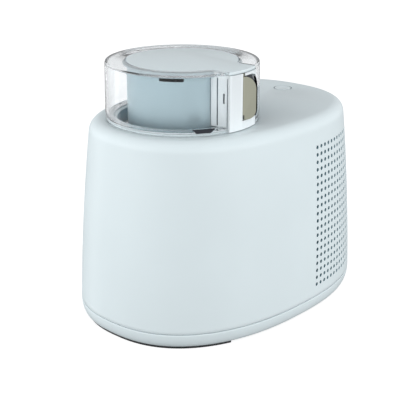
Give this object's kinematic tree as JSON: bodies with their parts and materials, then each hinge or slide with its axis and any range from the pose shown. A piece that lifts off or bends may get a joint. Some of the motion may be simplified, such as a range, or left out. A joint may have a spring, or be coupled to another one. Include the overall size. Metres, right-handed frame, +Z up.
{
  "type": "ice cream maker",
  "caption": "Self-cooling ice cream maker: oval barrel housing, round well with a lift-out bowl, clear motor lid with a churning paddle, and a push button.",
  "frame": {"origin": "on the surface the machine stands on, at the middle of the base outline", "axes": "+Z up, +X from the well towards the button, -Y towards the user"},
  "size_m": [0.337, 0.2426, 0.2752],
  "materials": {
    "body_plastic": "satin",
    "drum_plastic": "satin",
    "white_plastic": "satin",
    "clear_plastic": "gloss",
    "black_plastic": "satin",
    "nylon": "satin",
    "rubber": "matte",
    "silicone": "matte",
    "aluminium": "satin",
    "steel": "satin",
    "copper": "satin",
    "brass": "satin",
    "gold_metal": "satin",
    "foam": "matte",
    "black_enamel": "gloss",
    "circuit_board": "satin"
  },
  "bodies": {
    "base": {"housing": "body_plastic", "base_pan": "body_plastic", "front_foot": "rubber", "rear_foot_left": "rubber", "rear_foot_right": "rubber", "base_screw_1": "steel", "base_screw_2": "steel", "base_screw_3": "steel", "base_screw_4": "steel", "well_collar": "body_plastic", "well_liner": "aluminium", "insulation_jacket": "foam", "evaporator_coil": "copper", "contact_strip": "brass", "well_stand": "white_plastic", "button_guide": "white_plastic", "control_board": "circuit_board", "board_post_1": "white_plastic", "board_post_2": "white_plastic", "compressor": "black_enamel", "compressor_plate": "steel", "grommet_1": "rubber", "grommet_2": "rubber", "grommet_3": "rubber", "condenser": "aluminium", "fan_shroud": "black_plastic", "fan_motor": "steel", "fan_bracket": "steel", "filter_drier": "copper", "discharge_pipe": "copper", "liquid_pipe": "copper", "capillary_tube": "copper", "suction_pipe": "copper", "power_inlet": "black_plastic"},
    "bowl": {"ice_bowl": "aluminium"},
    "seal": {"lid_seal": "silicone"},
    "lid": {"clear_cover": "clear_plastic", "lock_lug": "black_plastic", "tab_backing": "black_plastic", "drum_housing": "drum_plastic", "arm_block": "white_plastic", "top_cap": "body_plastic", "contact_block": "black_plastic", "gearbox_cover": "nylon", "upper_bush": "brass", "lower_bush": "brass", "idler_pin": "steel", "motor_can": "steel", "tab_pin": "gold_metal"},
    "paddle": {"output_gear": "nylon", "output_shaft": "steel", "paddle": "nylon"},
    "idler": {"idler_gear": "nylon"},
    "motor": {"motor_armature": "copper", "motor_pinion": "brass"},
    "tab": {"thumb_tab": "gold_metal", "tab_spring": "steel"},
    "button": {"power_button": "body_plastic", "button_spring": "steel"},
    "fan": {"fan_rotor": "black_plastic"}
  },
  "joints": [
    {"name": "bowl_lift", "type": "slide", "parent": "base", "child": "bowl", "axis": [0, 0, 1], "range_m": [0, 0.16]},
    {"name": "lid_lift", "type": "slide", "parent": "bowl", "child": "seal", "axis": [0, 0, 1], "range_m": [0, 0.14]},
    {"name": "lid_turn", "type": "hinge", "parent": "seal", "child": "lid", "pos_m": [-0.0582, 0, 0.2154], "axis": [0, 0, 1], "range_deg": [0, 12]},
    {"name": "paddle_spin", "type": "hinge", "parent": "lid", "child": "paddle", "pos_m": [-0.0582, 0, 0.2], "axis": [0, 0, 1], "continuous": true},
    {"name": "idler_spin", "type": "hinge", "parent": "lid", "child": "idler", "pos_m": [-0.04736, 0.02175, 0.218], "axis": [0, 0, 1], "continuous": true},
    {"name": "motor_spin", "type": "hinge", "parent": "lid", "child": "motor", "pos_m": [-0.06882, 0.02419, 0.24], "axis": [0, 0, 1], "continuous": true},
    {"name": "tab_fold", "type": "hinge", "parent": "lid", "child": "tab", "pos_m": [-0.05588, -0.07817, 0.247], "axis": [0, 0, -1], "range_deg": [-17, 50], "stiffness_Nm_per_rad": 0.02},
    {"name": "button_press", "type": "slide", "parent": "base", "child": "button", "axis": [0, 0, -1], "range_m": [0, 0.0016], "stiffness_N_per_m": 600, "deforming": ["button_spring"]},
    {"name": "fan_spin", "type": "hinge", "parent": "base", "child": "fan", "pos_m": [0.067, 0.05, 0.066], "axis": [0, 1, 0], "continuous": true}
  ],
  "couplings": [
    {"joint": "idler_spin", "follows": "paddle_spin", "ratio": -3.5},
    {"joint": "motor_spin", "follows": "paddle_spin", "ratio": 10.5}
  ]
}
